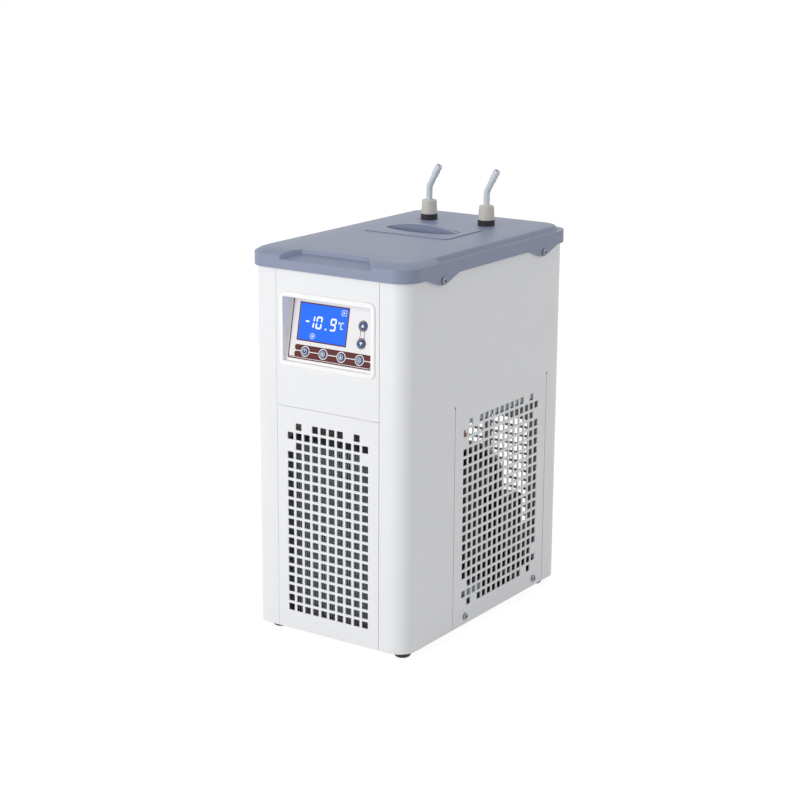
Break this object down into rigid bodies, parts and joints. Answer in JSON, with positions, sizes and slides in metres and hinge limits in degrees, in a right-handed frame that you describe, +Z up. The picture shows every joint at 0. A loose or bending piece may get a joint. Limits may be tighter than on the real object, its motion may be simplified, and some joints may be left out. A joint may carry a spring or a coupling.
{
  "type": "recirculating chiller",
  "caption": "Benchtop recirculating chiller: sheet steel cabinet with grilles, moulded top cover, sunk control panel, hose nipples, reservoir, pump, compressor, condenser and fan.",
  "frame": {"origin": "on the floor under the middle of the cabinet", "axes": "+Z up, the control panel faces -Y, +X to the right seen from the front"},
  "size_m": [0.2162, 0.3404, 0.5046],
  "materials": {
    "white_paint": "fine textured powder coat",
    "cover_plastic": "moulded ABS, satin",
    "black_rubber": "matt",
    "ivory_plastic": "moulded",
    "clear_tube_plastic": "translucent white",
    "plated_steel": "zinc plated",
    "white_plastic": "moulded ABS",
    "overlay_film": "printed polyester",
    "display_blue": "backlit",
    "key_blue": "moulded",
    "board_green": "solder mask",
    "galvanised_steel": "galvanised",
    "stainless_steel": "2B mill finish",
    "foam": "rigid foam",
    "copper": "bare copper",
    "black_enamel": "gloss enamel",
    "condenser_fins": "dark fins",
    "black_plastic": "moulded",
    "motor_grey": "satin",
    "hose_silicone": "silicone",
    "drain_plastic": "moulded"
  },
  "bodies": {
    "cabinet": {"base_plate": "galvanised_steel", "capillary_tube": "copper", "compressor": "black_enamel", "compressor_mounts": "black_rubber", "condenser": "condenser_fins", "control_housing": "white_plastic", "cover_screws": "plated_steel", "discharge_line": "copper", "display_board": "board_green", "drain_fitting": "drain_plastic", "drain_plug": "black_plastic", "evaporator_plate": "stainless_steel", "fan_bracket": "galvanised_steel", "fan_motor": "motor_grey", "fan_shroud": "galvanised_steel", "feet": "black_rubber", "filler_cap": "cover_plastic", "filter_drier": "copper", "foam_jacket": "foam", "front_control_panel": "white_paint", "front_grille_panel": "white_paint", "keypad_overlay": "overlay_film", "lcd_display": "display_blue", "left_side_panel": "white_paint", "liquid_line": "copper", "mains_inlet": "black_plastic", "mains_switch": "black_plastic", "power_supply": "motor_grey", "pump_head": "black_plastic", "pump_motor": "motor_grey", "rear_panel": "white_paint", "rear_screws": "plated_steel", "reservoir": "stainless_steel", "reservoir_shelf": "galvanised_steel", "return_collar": "ivory_plastic", "return_gasket": "black_rubber", "return_hose": "hose_silicone", "return_nipple": "clear_tube_plastic", "return_nut": "plated_steel", "right_side_panel": "white_paint", "side_screws": "plated_steel", "suction_line": "copper", "supply_collar": "ivory_plastic", "supply_gasket": "black_rubber", "supply_hose": "hose_silicone", "supply_nipple": "clear_tube_plastic", "supply_nut": "plated_steel", "terminal_box": "black_plastic", "top_cover": "cover_plastic"},
    "key_1_body": {"key_1": "key_blue"},
    "key_2_body": {"key_2": "key_blue"},
    "key_3_body": {"key_3": "key_blue"},
    "key_4_body": {"key_4": "key_blue"},
    "down_key_body": {"down_key": "key_blue"},
    "up_key_body": {"up_key": "key_blue"},
    "fan": {"fan_rotor": "black_plastic", "fan_shaft": "stainless_steel"},
    "rocker": {"switch_rocker": "black_plastic"}
  },
  "joints": [
    {"name": "key_1_press", "type": "slide", "parent": "cabinet", "child": "key_1_body", "axis": [0, 0.9809, -0.1945], "range_m": [0, 0.0008], "stiffness_N_per_m": 400},
    {"name": "key_2_press", "type": "slide", "parent": "cabinet", "child": "key_2_body", "axis": [0, 0.9809, -0.1945], "range_m": [0, 0.0008], "stiffness_N_per_m": 400},
    {"name": "key_3_press", "type": "slide", "parent": "cabinet", "child": "key_3_body", "axis": [0, 0.9809, -0.1945], "range_m": [0, 0.0008], "stiffness_N_per_m": 400},
    {"name": "key_4_press", "type": "slide", "parent": "cabinet", "child": "key_4_body", "axis": [0, 0.9809, -0.1945], "range_m": [0, 0.0008], "stiffness_N_per_m": 400},
    {"name": "down_key_press", "type": "slide", "parent": "cabinet", "child": "down_key_body", "axis": [0, 0.9809, -0.1945], "range_m": [0, 0.0008], "stiffness_N_per_m": 400},
    {"name": "up_key_press", "type": "slide", "parent": "cabinet", "child": "up_key_body", "axis": [0, 0.9809, -0.1945], "range_m": [0, 0.0008], "stiffness_N_per_m": 400},
    {"name": "fan_spin", "type": "hinge", "parent": "cabinet", "child": "fan", "pos_m": [0, -0.09, 0.1187], "axis": [0, 1, 0], "continuous": true},
    {"name": "switch_rock", "type": "hinge", "parent": "cabinet", "child": "rocker", "pos_m": [0, 0.1625, 0.3325], "axis": [0, 0, 1], "range_deg": [-10, 0]}
  ]
}
